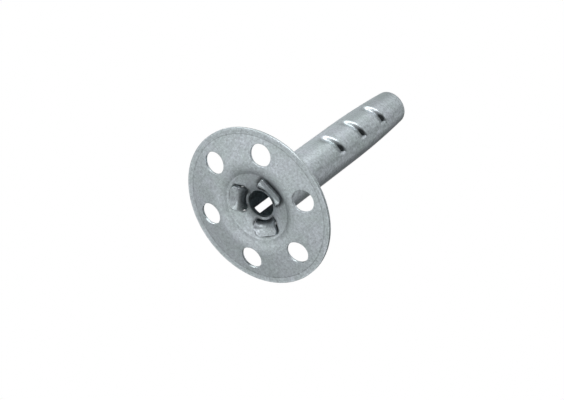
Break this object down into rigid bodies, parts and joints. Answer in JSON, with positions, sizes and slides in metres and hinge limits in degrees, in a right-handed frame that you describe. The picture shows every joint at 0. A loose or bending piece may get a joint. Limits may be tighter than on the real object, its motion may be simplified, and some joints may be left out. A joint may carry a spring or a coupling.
{
  "type": "metal fixing dowel",
  "caption": "Metal fixing dowel for insulation: a rolled, slotted steel sleeve with pressed dents, held by folded tongues in a dished round plate with a drawn collar and a ring of holes.",
  "frame": {"origin": "on the sleeve's axis, at the height of the plate's crown, on which the dowel stands", "axes": "+Z along the sleeve from the plate to the tip, +X towards the dents, away from the open seam"},
  "size_m": [0.03, 0.03, 0.0466],
  "materials": {
    "plate_steel": "galvanised, satin, with a fine mottled zinc grain",
    "sleeve_steel": "galvanised, satin, with fine rolling marks along the sleeve"
  },
  "bodies": {
    "root": {"plate": "plate_steel", "sleeve": "sleeve_steel"}
  },
  "joints": []
}
